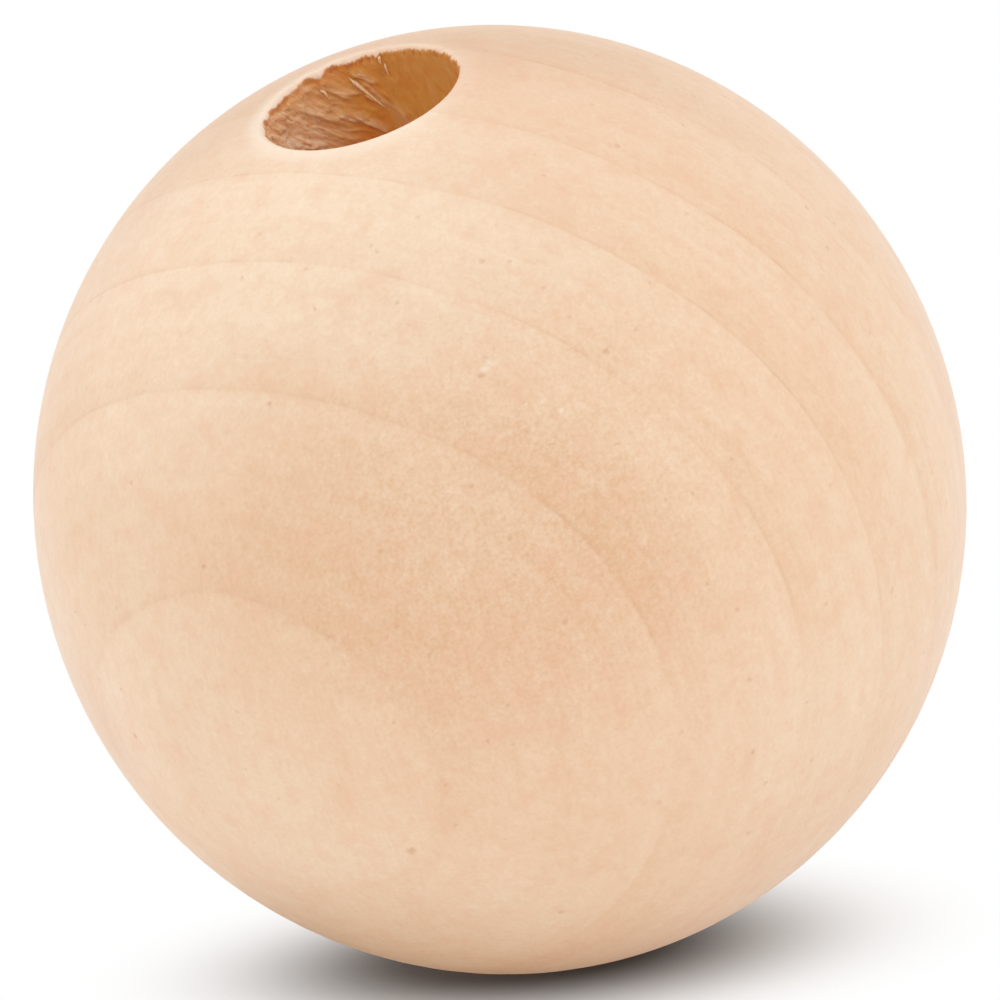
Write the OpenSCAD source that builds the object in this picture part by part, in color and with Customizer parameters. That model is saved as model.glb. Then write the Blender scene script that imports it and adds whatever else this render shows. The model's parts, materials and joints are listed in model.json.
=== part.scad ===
// Wooden dowel cap: one turned ball with a blind bore that takes the end of a dowel.
// The origin is the ball's centre, and +Z runs along the grain and out of the bore's mouth.

/* [Ball] */
// Diameter of the ball across the grain
ball_d = 44.4; // [30:0.1:60]
// Length of the ball along the grain, a little more because wood shrinks across the grain
ball_len = 45.6; // [30:0.1:60]

/* [Bore] */
// Diameter of the bore, for a 3/8 inch dowel
bore_d = 9.5; // [4:0.1:16]
// Depth of the bore from its mouth to the foot of its straight wall
bore_depth = 19; // [6:0.5:24]
// Included angle of the drill point that the bore ends in
drill_angle = 118; // [90:1:140]
// Width of the broken edge round the bore's mouth
edge_break = 0.3; // [0.1:0.1:0.8]

/* [Hidden] */
$fn = 128;

ball_r = ball_d / 2;
bore_r = bore_d / 2;
crown_z = ball_len / 2;
// Height at which the bore's wall would meet the ball's surface
mouth_z = crown_z * sqrt(1 - pow(bore_r / ball_r, 2));
wall_foot_z = mouth_z - bore_depth;
point_z = wall_foot_z - bore_r / tan(drill_angle / 2);
// The drill's path runs this far past the crown, so that it cuts clean through
overrun = 1;

// Half section of the turned ball: an ellipse on one side of the turning axis
module ball_section() {
    intersection() {
        scale([ball_r, crown_z]) circle(r = 1);
        translate([0, -crown_z]) square([ball_r, ball_len]);
    }
}

// Half section of the drill's path: its point, the straight wall and the broken edge
module bore_section() {
    polygon([
        [0, point_z],
        [bore_r, wall_foot_z],
        [bore_r, mouth_z - edge_break],
        [bore_r + edge_break, mouth_z],
        [bore_r + edge_break, crown_z + overrun],
        [0, crown_z + overrun]
    ]);
}

// The whole cap, one piece of wood turned about the bore's axis
module ball_cap() {
    color("#ECC9A9")
        rotate_extrude()
            difference() {
                ball_section();
                bore_section();
            }
}

ball_cap();
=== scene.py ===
"""Wooden dowel cap: a turned and sanded birch ball with a drilled, torn bore.

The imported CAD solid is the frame. The ball's skin and the torn fibres in its bore are
surfaces worked out with numpy in the same frame, in metres.
"""

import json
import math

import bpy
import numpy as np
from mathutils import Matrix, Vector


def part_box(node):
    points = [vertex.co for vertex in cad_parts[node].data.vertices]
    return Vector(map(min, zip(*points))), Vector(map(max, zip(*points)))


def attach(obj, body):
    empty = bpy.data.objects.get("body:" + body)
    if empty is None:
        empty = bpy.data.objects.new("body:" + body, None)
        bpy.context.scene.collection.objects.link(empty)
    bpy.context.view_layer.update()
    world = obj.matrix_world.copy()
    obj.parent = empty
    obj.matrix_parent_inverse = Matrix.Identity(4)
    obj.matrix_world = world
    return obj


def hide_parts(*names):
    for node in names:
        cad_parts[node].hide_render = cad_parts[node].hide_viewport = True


bl_info = {
    "name": "Wooden Dowel Cap",
    "version": (1, 0, 0),
    "blender": (4, 5, 0),
    "location": "3D View > Sidebar > Dowel Cap",
    "description": "Builds a turned birch ball with a drilled bore and torn fibres around its CAD frame",
    "category": "Object",
}

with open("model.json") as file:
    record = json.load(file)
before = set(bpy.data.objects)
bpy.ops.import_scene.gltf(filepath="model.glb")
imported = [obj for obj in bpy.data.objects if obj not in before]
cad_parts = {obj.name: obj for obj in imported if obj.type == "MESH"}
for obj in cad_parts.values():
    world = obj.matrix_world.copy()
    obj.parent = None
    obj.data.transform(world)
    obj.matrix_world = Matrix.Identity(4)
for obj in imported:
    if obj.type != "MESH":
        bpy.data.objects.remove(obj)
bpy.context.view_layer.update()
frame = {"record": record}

# Names shared with the frame
BODY = "root"
NODE = "ball_cap"
MM = 0.001

# Sizes read from the frame
CAD_LOW, CAD_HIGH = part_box(NODE)
BORE_DIMS = frame["record"]["mounts"][0]["dims"]
BALL_RADIUS = CAD_HIGH.x
CROWN_HEIGHT = -CAD_LOW.z
BORE_RADIUS = BORE_DIMS["r_mm"] * MM
WALL_LENGTH = BORE_DIMS["length_mm"] * MM

# Seed of every random draw, so that each run gives the same cap
SEED = 38


def linear(code):
    """An sRGB hex colour as linear red, green, blue and an alpha of one."""
    parts = [int(code[i:i + 2], 16) / 255 for i in (0, 2, 4)]
    return tuple(c / 12.92 if c <= 0.04045 else ((c + 0.055) / 1.055) ** 2.4 for c in parts) + (1.0,)


def smooth(low, high, value):
    """Smooth step: 0 at low, 1 at high, and 3t^2 - 2t^3 between; low may be the larger."""
    t = np.clip((value - low) / (high - low), 0.0, 1.0)
    return t * t * (3.0 - 2.0 * t)


def at_least(least, share):
    """Grows in a straight line from least at a share of 0 to 1 at a share of 1."""
    return least + (1.0 - least) * share


def from_table(table, turn):
    """Value at each angle round the axis, read along a table of angles in degrees and values."""
    angles, values = np.array(table, float).T
    return np.interp(np.degrees(turn), angles, values)


def add(tree, kind, *inputs, named=None, **settings):
    """Adds a node: settings are its own values, inputs go in by place, named ones by name or place."""
    node = tree.nodes.new(kind)
    for key, value in settings.items():
        setattr(node, key, value)
    for key, value in [*enumerate(inputs), *(named or {}).items()]:
        if isinstance(value, bpy.types.NodeSocket):
            tree.links.new(value, node.inputs[key])
        else:
            node.inputs[key].default_value = value
    return node


def colour_prop(name, description, code):
    """A colour that a user may change, given as an sRGB hex value."""
    return bpy.props.FloatVectorProperty(
        name=name, description=description, subtype="COLOR", size=4, min=0.0, max=1.0, default=linear(code)
    )


def length_prop(name, description, default):
    """A length that a user may change, in metres."""
    return bpy.props.FloatProperty(
        name=name, description=description, subtype="DISTANCE", unit="LENGTH", precision=5, default=default
    )


def angle_prop(name, description, degrees):
    """An angle that a user may change, given in degrees."""
    return bpy.props.FloatProperty(
        name=name, description=description, subtype="ANGLE", default=math.radians(degrees)
    )


class CapShape(bpy.types.PropertyGroup):
    """Sizes of the ball, its bore and the torn wood in it."""

    ball_radius: length_prop("Ball radius", "Radius of the ball across the grain", BALL_RADIUS)
    crown_height: length_prop("Crown height", "Half length of the ball along the grain", CROWN_HEIGHT)
    bore_radius: length_prop("Bore radius", "Radius of the drilled wall", BORE_RADIUS)
    wall_length: length_prop("Wall length", "Length of the bore's straight wall", WALL_LENGTH)
    edge_break: length_prop("Edge break", "Height of the broken edge over the straight wall", 0.3 * MM)
    near_edge: length_prop("Worn edge", "Rounding of the mouth where it was sanded smooth", 0.18 * MM)
    torn_edge: length_prop("Torn edge", "Rounding of the mouth where the drill tore it", 0.32 * MM)
    frayed_depth: length_prop("Frayed depth", "How far down the wall the torn strands are modelled", 5.5 * MM)
    strand_lean: angle_prop("Strand lean", "Angle of the dragged strands from the bore's axis", 42)
    drill_angle: angle_prop("Drill angle", "Included angle of the drill point that the bore ends in", 118)


class CapLook(bpy.types.PropertyGroup):
    """Colours of the wood, and of the painted highlight and painted shade on it."""

    earlywood: colour_prop("Earlywood", "Palest wood at the start of a year's growth", "F9E1C5")
    latewood: colour_prop("Latewood", "Pinker wood at the end of a year's growth", "E4B78F")
    year_line: colour_prop("Year line", "Thin dark line that closes a year", "CF9C76")
    # Painted highlight: cream laid round the mouth's edge
    rim_highlight: colour_prop("Worn rim", "Cream wood on the mouth's rubbed edge", "FFEEDA")
    blush: colour_prop("Blush", "Rosy tinge here and there", "EBB794")
    drilled: colour_prop("Drilled wall", "Wood burnished by the drill", "F0BC5F")
    # Painted shade in the gaps between torn strands and fibres, and darker wood in blotches
    gap: colour_prop("Gap", "Depth between torn strands", "EA953C")
    # Painted shade: brown just below the mouth's torn edge and down the top of the wall
    mouth_shade: colour_prop("Scorch", "Wood rubbed dark just below the mouth's torn edge", "BA6F32")
    strand: colour_prop("Strand", "Torn strands and slivers", "FDE2C4")
    pore: colour_prop("Pore", "Small open pores", "BE7C4A")
    fleck: colour_prop("Fleck", "Lifted fibres left by sanding", "FBE9D2")


class StageLook(bpy.types.PropertyGroup):
    """Floor, light and camera."""

    floor: colour_prop("Floor", "Colour of the plain floor", "FAFAFA")
    # Painted shadow: the floor's colour close under the ball
    shade: colour_prop("Shade", "Colour of the floor close under the ball", "666666")
    # Painted reflection: a warm tinge of the floor seen only in the wood's reflections
    painted_bounce: colour_prop("Bounce", "Tinge of the floor in the wood's reflections", "F8EBE3")
    sky_strength: bpy.props.FloatProperty(
        name="Tent light", description="Strength of the even white light all round", default=0.985
    )
    camera_distance: length_prop("Camera distance", "From the camera to the ball's centre", 0.5)
    camera_height: angle_prop("Camera height", "Angle of the camera above the ball's waist", 26.3)
    camera_roll: angle_prop("Camera roll", "Lean of the bore's axis to the left in the picture", 19.1)


# Grid of the ball's skin; the ball's rows crowd towards the mouth by this power
COLUMNS = 480
BALL_ROWS = 70
EDGE_ROWS = 9
FRAYED_ROWS = 104
WALL_ROWS = 8
POINT_ROWS = 6
ROW_CROWDING = 1.5
# Distance over the edge that stands for the ball's own points, which lie well before it
BEFORE_EDGE = -1.0 * MM

# The drill cut clean round one side only: that side, and the cosines off it between which the wall turns torn
CLEAN_SIDE_DEG = 18
TURNING_TORN = (0.86, 0.25)
# The mouth's far edge, by the sine of the angle round the axis: it begins at the first and is whole
# from the second on
FAR_SINES = (-0.45, 0.15)
# Shares left where the drill cut clean: a strand's lean, height and paleness, and the wall's roughness
CLEAN_LEAN = 0.15
CLEAN_HEIGHT = 0.14
CLEAN_TINT = 0.2
CLEAN_ROUGHNESS = 0.12

# Scallops torn out of the mouth's far edge and the points left between them:
# angle round the axis and half width in degrees, and depth in mm
SCALLOPS = (
    (53, 9, 0.05), (68, 6, 0.08), (82, 8, 0.12), (98, 8, 0.22), (117, 8, 0.14), (135, 9, 0.10),
    (160, 10, 0.06),
)
POINTS = (
    (62, 3.0, 0.10), (74, 3.5, 0.12), (89, 4.5, 0.18), (109, 4.5, 0.18), (125, 3.5, 0.14), (13, 3.0, 0.14),
)
# They die out on the ball at this share of the bore's radius, and this far down the wall
BITE_REACH = 1.3
BITE_DEPTH = 1.4 * MM
# How far the sanded skin reaches over the edge: angle round the axis in degrees, and reach in mm
SKIN_REACH = (
    (0, 0.35), (22, 0.36), (45, 0.43), (110, 0.46), (145, 0.46), (165, 0.45), (195, 0.31), (360, 0.32),
)
# Share of a scallop's or a point's depth by which that reach changes there
SKIN_SHARE = 0.35
# Half width of the change from skin to drilled wall
SKIN_END = 0.05 * MM
# How strongly a painted highlight lies round the mouth's edge: angle round the axis in degrees, and share
EDGE_HIGHLIGHT = (
    (0, 0.3), (60, 0.5), (110, 0.9), (150, 1.3), (185, 1.3), (220, 0.85), (290, 0.75),
    (330, 0.35), (360, 0.3),
)
# That painted highlight begins and is whole at these distances outside the bore's wall
EDGE_HIGHLIGHT_REACH = (1.3 * MM, 0.3 * MM)
# How far the skin's own fine teeth hang down on the far side, and its coarser rags on the torn one
TOOTH_LENGTH = 0.10 * MM
RAG_LENGTH = 0.20 * MM
# Weights of neighbouring columns in a tooth, columns in a rag, and levels between which each is sharpened
TOOTH_WEIGHTS = (0.2, 0.7, 0.2)
RAG_COLUMNS = 13
TOOTH_LEVELS = (0.25, 0.9)
RAG_LEVELS = (0.35, 0.65)
# Angles round the axis in degrees between which teeth give way to rags
RAGGED_DEG = (80.0, 120.0)
# Painted shade darkens the wall under the skin's end, from nothing at the first distance to all at the
# second, by at least this share between teeth, which are moved round by some columns there
MOUTH_SHADE_REACH = (0.60 * MM, 0.05 * MM)
MOUTH_SHADE_LEAST = 0.4
MOUTH_SHADE_COLUMNS = 7
# Painted shade darkens the wall by this share at its mouth, fading to nothing this far down
WALL_SHADE_SHARE = 0.45
WALL_SHADE_DEPTH = 3.4 * MM

# Height of a whole strand over the wall
STRAND_HEIGHT = 0.26 * MM
# Flakes that show plainly: angle in degrees and depth in mm of the middle, half length and half width in mm,
# and lean in degrees
PLAIN_FLAKES = (
    (103.5, 1.15, 1.25, 0.34, 44), (116.0, 1.90, 1.95, 0.42, 48), (128.0, 2.40, 1.10, 0.36, 46),
    (140.0, 1.10, 0.95, 0.40, 40), (101.0, 2.75, 0.90, 0.28, 50), (152.0, 2.20, 1.00, 0.38, 40),
    (84.0, 1.15, 0.80, 0.24, 45),
)
# Their share of a whole strand's height, and their bow
PLAIN_HEIGHT = 0.7
PLAIN_BOW = 0.1
# Flakes scattered about, and the finer strands over and between them
FLAKES = 44
STRANDS = 260
# Ranges of each: half length and half width in mm, share of a whole strand's height, and paleness
FLAKE_RANGES = ((0.8, 1.6), (0.20, 0.42), (0.4, 0.85), (0.45, 1.0))
STRAND_RANGES = ((0.4, 1.0), (0.06, 0.15), (0.1, 0.5), (0.0, 0.7))
# Range of their depths as a share of the frayed depth, spread of their lean in radians, and of their bow
STREWN_DEPTHS = (-0.10, 1.0)
LEAN_SPREAD = 0.17
BOW_SPREAD = 0.5
# Place across a strand at which its lifted edge begins to drop
LIFTED_EDGE = 0.55
# Roughness of the torn wood between them: spacing round the wall, length along a strand, and height, in mm
ROUGHNESS_MM = ((0.17, 0.70, 0.035), (0.45, 0.55, 0.10), (0.22, 0.22, 0.025))
# What roughness leaves of a strand's height at least, and what it adds at most
ROUGH_LEAST = 0.7
ROUGH_MORE = 0.6
# The relief rises over this depth below the edge, and sinks from this share of the frayed depth to its end
RELIEF_START = 0.3 * MM
RELIEF_END = 0.85


def edge_angle(shape, edge):
    """Angle on the ellipse at which an edge arc of that radius leaves the ball, tangent to ball and wall.

    The arc's centre lies one edge radius inside both the ball and the wall, so that
    R cos b - e n_r = bore + e, where n_r is the ball's outward normal across the axis.
    """
    ball, crown = shape.ball_radius, shape.crown_height
    angle = np.arccos((shape.bore_radius + edge) / ball)
    for _ in range(6):
        across, along = crown * np.cos(angle), ball * np.sin(angle)
        tilt = across / np.hypot(across, along)
        angle = np.arccos((shape.bore_radius + edge * (1.0 + tilt)) / ball)
    return angle, np.arctan2(along, across)


def mouth_height(shape):
    """Height on the ball's ellipse at the bore's radius: z = C sqrt(1 - (r / R)^2)."""
    return shape.crown_height * math.sqrt(1.0 - (shape.bore_radius / shape.ball_radius) ** 2)


def how_torn(turn):
    """Share from 0, smoothly cut, to 1, torn: the drill cut clean round one side of the bore only."""
    return smooth(*TURNING_TORN, np.cos(turn - math.radians(CLEAN_SIDE_DEG)))


def strand_sweep(shape, torn, depth):
    """Angle swept by a strand down to a depth: depth tan(lean) / bore, less where the drill cut clean."""
    return math.tan(shape.strand_lean) / shape.bore_radius * at_least(CLEAN_LEAN, torn) * depth


def lattice(rng, turn, depth, spacing, length, bore):
    """Smooth random height from 0 to 1: random knots on a lattice, blended between with 3t^2 - 2t^3."""
    cells = round(2.0 * math.pi * bore / spacing)
    knots = rng.random((int(np.ceil(np.ptp(depth) / length)) + 2, cells))
    across = np.mod(turn / (2.0 * np.pi), 1.0) * cells
    down = (depth - depth.min()) / length
    column, row = across.astype(int) % cells, down.astype(int)
    beside = (column + 1) % cells
    s, t = smooth(0.0, 1.0, across % 1.0), smooth(0.0, 1.0, down % 1.0)
    upper = knots[row, column] * (1.0 - s) + knots[row, beside] * s
    lower = knots[row + 1, column] * (1.0 - s) + knots[row + 1, beside] * s
    return upper * (1.0 - t) + lower * t


def strands(shape, rng):
    """Gives each strand: angle, depth, half length, half width, height, lean, bow, side and paleness."""
    for at, down, long, wide, lean in PLAIN_FLAKES:
        high = PLAIN_HEIGHT * STRAND_HEIGHT
        yield math.radians(at), down * MM, long * MM, wide * MM, high, math.radians(lean), PLAIN_BOW, 1.0, 1.0
    for number in range(FLAKES + STRANDS):
        lengths, widths, heights, tints = FLAKE_RANGES if number < FLAKES else STRAND_RANGES
        at = rng.uniform(-np.pi, np.pi)
        down = rng.uniform(*STREWN_DEPTHS) * shape.frayed_depth
        torn = float(how_torn(np.array(at)))
        long = rng.uniform(*lengths) * MM
        wide = rng.uniform(*widths) * MM
        high = rng.uniform(*heights) * STRAND_HEIGHT * at_least(CLEAN_HEIGHT, torn)
        lean = shape.strand_lean * at_least(CLEAN_LEAN, torn) + rng.normal() * LEAN_SPREAD
        bow = rng.normal() * BOW_SPREAD
        side = rng.choice((-1.0, 1.0))
        tint = rng.uniform(*tints) * at_least(CLEAN_TINT, torn)
        yield at, down, long, wide, high, lean, bow, side, tint


def torn_wall(shape, rng, turn, depth):
    """Relief of the torn wall in metres, and how pale its wood is, over angle round the axis and depth.

    Each strand is a bowed ridge on the unrolled wall. Along its length the height is 1 - a^2, and across
    it the height climbs to a lifted edge and drops off steeply behind. The higher of two strands shows.
    Random lattices that follow the strands roughen all of it.
    """
    relief = np.zeros_like(depth)
    pale = np.zeros_like(depth)
    for at, down, long, wide, high, lean, bow, side, tint in strands(shape, rng):
        round_wall = (np.mod(turn - at + np.pi, 2.0 * np.pi) - np.pi) * shape.bore_radius
        down_wall = depth - down
        along = (-round_wall * math.sin(lean) + down_wall * math.cos(lean)) / long
        across = (round_wall * math.cos(lean) + down_wall * math.sin(lean)) / wide
        across = side * (across + bow * along * along)
        wedge = np.clip(0.5 * (across + 1.0), 0.0, 1.0) * smooth(1.0, LIFTED_EDGE, across)
        height = high * wedge * np.clip(1.0 - along * along, 0.0, 1.0)
        above = height > relief
        relief = np.where(above, height, relief)
        pale = np.where(above, tint * height / high, pale)
    torn = how_torn(turn)
    swept = turn + strand_sweep(shape, torn, depth)
    for spacing, length, height in ROUGHNESS_MM:
        rough = lattice(rng, swept, depth, spacing * MM, length * MM, shape.bore_radius)
        between = at_least(CLEAN_ROUGHNESS, torn) * height * MM * rough
        relief = relief * (ROUGH_LEAST + ROUGH_MORE * rough) + between
    return relief, pale


def mouth_bite(turn):
    """How far the mouth's edge lies outside its circle, in metres.

    With the offset u from its middle in half widths, a scallop is 1 - u^2 deep, and a point
    juts in by 1 - |u|.
    """
    bite = np.zeros_like(turn)
    for cuts, sign, power in ((SCALLOPS, 1.0, 2.0), (POINTS, -1.0, 1.0)):
        for middle, half, deep in cuts:
            offset = np.degrees(np.angle(np.exp(1j * (turn - math.radians(middle)))))
            bite += sign * deep * MM * np.clip(1.0 - np.abs(offset / half) ** power, 0.0, 1.0)
    return bite


def skin_end(rng, turn, far, bite):
    """How far the sanded skin reaches over the mouth's edge, and its teeth from 0 to 1.

    One random draw for each column is blurred a little for teeth and more for rags, and then sharpened.
    """
    draws = np.tile(rng.random(COLUMNS), 3)
    blur = np.hanning(RAG_COLUMNS)
    fine = np.convolve(draws, TOOTH_WEIGHTS, "same")[None, COLUMNS:2 * COLUMNS]
    coarse = np.convolve(draws, blur / blur.sum(), "same")[None, COLUMNS:2 * COLUMNS]
    ragged = smooth(*RAGGED_DEG, np.degrees(turn))
    tooth = smooth(*TOOTH_LEVELS, fine) * (1.0 - ragged) + smooth(*RAG_LEVELS, coarse) * ragged
    length = TOOTH_LENGTH + (RAG_LENGTH - TOOTH_LENGTH) * ragged
    reach = from_table(SKIN_REACH, turn) * MM - SKIN_SHARE * bite + far * length * (tooth - 0.5)
    return reach, tooth


def ball_skin(shape, rng):
    """Rows of points of the cap's skin, and what the wood is like at each.

    A profile is carried round the axis. It follows the ellipse r = R cos b, z = C sin b from the
    lower pole to the mouth, an arc over the mouth's edge, the bore's wall, and a cone to the drill's
    point. Scallops push the mouth's far edge outwards and points pull it inwards. The strand places
    are the points turned about the axis by the angle that a strand sweeps on its way down, so that
    a strand runs straight along the axis there.
    """
    turn = np.linspace(0.0, 2.0 * np.pi, COLUMNS, endpoint=False)[None, :]
    far = smooth(*FAR_SINES, np.sin(turn))
    bite = mouth_bite(turn)
    reach, tooth = skin_end(rng, turn, far, bite)
    edge = shape.near_edge + (shape.torn_edge - shape.near_edge) * far
    bore, mouth = shape.bore_radius, mouth_height(shape)

    # The ball
    leave, lean = edge_angle(shape, edge)
    share = np.linspace(0.0, 1.0, BALL_ROWS)[:, None]
    rise = -0.5 * np.pi + (leave + 0.5 * np.pi) * (1.0 - (1.0 - share) ** ROW_CROWDING)
    radius = shape.ball_radius * np.cos(rise)
    radius = radius + bite * smooth(BITE_REACH * bore, bore, radius)
    level = np.sqrt(np.clip(1.0 - (radius / shape.ball_radius) ** 2, 0.0, 1.0))
    height = shape.crown_height * np.sign(rise) * level
    rows = [np.stack([radius, height], -1)]
    run = [np.broadcast_to(BEFORE_EDGE, radius.shape)]

    # The mouth's edge
    centre_r = bore + edge + bite
    centre_z = height[-1:] - edge * np.sin(lean)
    swing = lean + (np.pi - lean) * np.linspace(0.0, 1.0, EDGE_ROWS + 1)[1:, None]
    rows.append(np.stack([centre_r + edge * np.cos(swing), centre_z + edge * np.sin(swing)], -1))
    run.append(edge * (swing - lean))

    # The torn stretch of the wall
    top = np.broadcast_to(centre_z, turn.shape)
    frayed_foot = mouth - shape.frayed_depth
    share = np.linspace(0.0, 1.0, FRAYED_ROWS + 1)[1:, None]
    wall_z = top + (frayed_foot - top) * share
    depth = mouth - wall_z
    relief, pale = torn_wall(shape, rng, np.broadcast_to(turn, depth.shape), depth)
    sinking = smooth(shape.frayed_depth, RELIEF_END * shape.frayed_depth, depth)
    relief = relief * smooth(0.0, RELIEF_START, top - wall_z) * sinking
    spread = bite * smooth(BITE_DEPTH, 0.0, top - wall_z)
    rows.append(np.stack([bore + spread - relief, wall_z], -1))
    run.append(run[-1][-1:] + top - wall_z)

    # The rest of the wall and the drill's point
    foot = mouth - shape.edge_break - shape.wall_length
    wall = frayed_foot + (foot - frayed_foot) * np.linspace(0.0, 1.0, WALL_ROWS + 1)[1:, None]
    rows.append(np.stack(np.broadcast_arrays(np.full_like(turn, bore), wall), -1))
    point = foot - bore / math.tan(0.5 * shape.drill_angle)
    share = np.linspace(0.0, 1.0, POINT_ROWS + 1)[1:, None]
    cone = np.broadcast_arrays(bore * (1.0 - share) + 0.0 * turn, foot + (point - foot) * share)
    rows.append(np.stack(cone, -1))
    run.append(np.full((WALL_ROWS + POINT_ROWS, COLUMNS), shape.frayed_depth))

    profile = np.concatenate([np.broadcast_to(r, (r.shape[0], COLUMNS, 2)) for r in rows])
    run = np.concatenate([np.broadcast_to(r, (r.shape[0], COLUMNS)) for r in run])
    radius, height = profile[..., 0], profile[..., 1]
    points = np.stack([radius * np.cos(turn), radius * np.sin(turn), height], -1)

    # What the wood is like: drilled past the skin's end, with a painted highlight round the mouth and painted
    # shade below it
    drilled = smooth(reach - SKIN_END, reach + SKIN_END, run)
    # Painted highlight: cream round the mouth's edge, stronger on some sides
    edge_highlight = np.where(height > 0.5 * mouth, smooth(*EDGE_HIGHLIGHT_REACH, radius - bore), 0.0) * (1.0 - drilled)
    edge_highlight = edge_highlight * from_table(EDGE_HIGHLIGHT, turn)
    # Painted shade: darker under the mouth's torn edge, between teeth, and down the top of the wall
    mouth_shade = far * at_least(MOUTH_SHADE_LEAST, np.roll(tooth, MOUTH_SHADE_COLUMNS)) * smooth(*MOUTH_SHADE_REACH, run - reach)
    mouth_shade = np.maximum(mouth_shade, WALL_SHADE_SHARE * smooth(WALL_SHADE_DEPTH, 0.0, run - reach))
    raised = np.zeros_like(drilled)
    light = np.zeros_like(drilled)
    frayed = slice(BALL_ROWS + EDGE_ROWS, BALL_ROWS + EDGE_ROWS + FRAYED_ROWS)
    raised[frayed] = relief / STRAND_HEIGHT
    light[frayed] = pale
    torn = np.broadcast_to(how_torn(turn), drilled.shape)
    sweep = turn + np.clip(strand_sweep(shape, torn, mouth - height), 0.0, 2.0 * np.pi)
    strand = np.stack([radius * np.cos(sweep), radius * np.sin(sweep), height], -1)
    return points, {
        "drilled": drilled, "edge_highlight": edge_highlight, "raised": raised, "pale": light, "torn": torn, "mouth_shade": mouth_shade,
        "strand": strand,
    }


def closed_grids(name, points, values):
    """Mesh of closed grids: columns run round, and each grid's first and last row is one point.

    Points are grids by rows by columns by 3. A value per point becomes an attribute of the mesh.
    """
    grids, rows, columns = points.shape[:3]
    verts = np.concatenate([points[:, 1:-1].reshape(-1, 3), points[:, 0, 0], points[:, -1, 0]])
    count = grids * (rows - 2) * columns
    index = np.arange(count).reshape(grids, rows - 2, columns)
    right = np.roll(index, -1, axis=2)
    quads = np.stack([index[:, :-1], right[:, :-1], right[:, 1:], index[:, 1:]], -1).reshape(-1, 4)
    first = np.broadcast_to(count + np.arange(grids)[:, None], (grids, columns))
    last = first + grids
    low = np.stack([first, right[:, 0], index[:, 0]], -1).reshape(-1, 3)
    high = np.stack([last, index[:, -1], right[:, -1]], -1).reshape(-1, 3)
    mesh = bpy.data.meshes.new(name)
    mesh.from_pydata(verts.tolist(), [], quads.tolist() + low.tolist() + high.tolist())
    for key, value in values.items():
        vector = value.ndim == 4
        layer = mesh.attributes.new(key, "FLOAT_VECTOR" if vector else "FLOAT", "POINT")
        body = value[:, 1:-1].reshape(-1, 3) if vector else value[:, 1:-1].ravel()
        flat = np.concatenate([body, value[:, 0, 0], value[:, -1, 0]])
        layer.data.foreach_set("vector" if vector else "value", flat.astype(np.float32).ravel())
    mesh.polygons.foreach_set("use_smooth", np.ones(len(mesh.polygons), bool))
    mesh.update()
    return mesh


# Turns places in metres to mm
TO_MM = (1000, 1000, 1000)
# Growth of the tree: where its pith runs beside the ball, and the years that the ball cuts through
PITH_MM = (31.9, 33.1, 0.0)
GRAIN_LEAN_DEG = (-3.5, -6.4, 0.0)
YEAR_RADII_MM = (20.0, 25.2, 30.3, 35.6, 40.8, 46.8, 51.6, 56.3, 61.3, 66.6, 72.0)
# The years wander in and out by up to half of this, over this length
WANDER_DEPTH_MM = 0.5
WANDER_MM = 9.0
# A year that stopped and went on again left one more faint line: its radius and half width, and its share
FALSE_YEAR_MM = (60.1, 0.10)
FALSE_YEAR_SHARE = 0.16
# Tone over one year's growth: share of the year, and darkness from earlywood to the closing line
YEAR_TONE = ((0.0, 0.75), (0.018, 0.12), (0.06, 0.0), (0.40, 0.16), (0.72, 0.44), (0.93, 0.86), (0.985, 1.0))
# Strength of the years over the radii above: plainest in one slow year, faint towards the bark
YEAR_STRENGTH = (
    (0.0, 0.45), (0.40, 0.52), (0.46, 0.86), (0.525, 0.60), (0.60, 0.76), (0.62, 0.58), (0.74, 0.50),
    (0.785, 0.72), (0.80, 0.50), (0.90, 0.46)
)
# From here on, a name that ends in RANGE holds two levels of what is read, and the two values that they give.
# The years fade in and out over one length, and their lines are broken over a shorter one. Both are
# fainter towards the ball's foot, by the height in mm
FADE_MM = 8.0
FADE_RANGE = (0.32, 0.68, 0.45, 1.20)
FOOT_TONE_RANGE = (-6.0, 5.0, 0.55, 1.0)
BROKEN_MM = 2.2
BROKEN_RANGE = (0.40, 0.60, 0.10, 1.0)
FOOT_LINE_RANGE = (-5.0, 5.0, 0.10, 1.0)
# Where in the year its closing line is drawn, and how plainly
LINE_RANGE = (0.962, 0.99, 0.0, 0.36)
# Share of the years in the wood's warmth, and that of the plain wood between them
YEARS_SHARE = 0.30
PLAIN_WARMTH = 0.443
# Sizes of the fine figure: stipple, spots, mottle, fibres drawn along the grain, streaks along the years,
# and slow drift
STIPPLE_MM = 0.2
SPOTS_MM = 0.42
MOTTLE_MM = 0.8
DRAWN_MM = (0.3, 0.3, 4.0)
STREAK_MM = (9.0, 14.0, 0.45)
DRIFT_MM = 15.0
# Share of each in the warmth; the spots have theirs of the stipple's
SPOTS_SHARE = 0.46
MOTTLE_SHARE = 0.26
DRAWN_SHARE = 0.22
STREAK_SHARE = 0.25
DRIFT_SHARE = 0.39
# The stipple is plainest here and fades by the distance in mm
GRAINY_PATCH_MM = (0.5, -20.5, 8.0)
GRAINY_RANGE = (3.0, 16.0, 0.84, 0.41)
# Small rosy clouds
BLUSH_MM = 1.5
BLUSH_RANGE = (0.48, 0.72, 0.0, 0.32)
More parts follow.
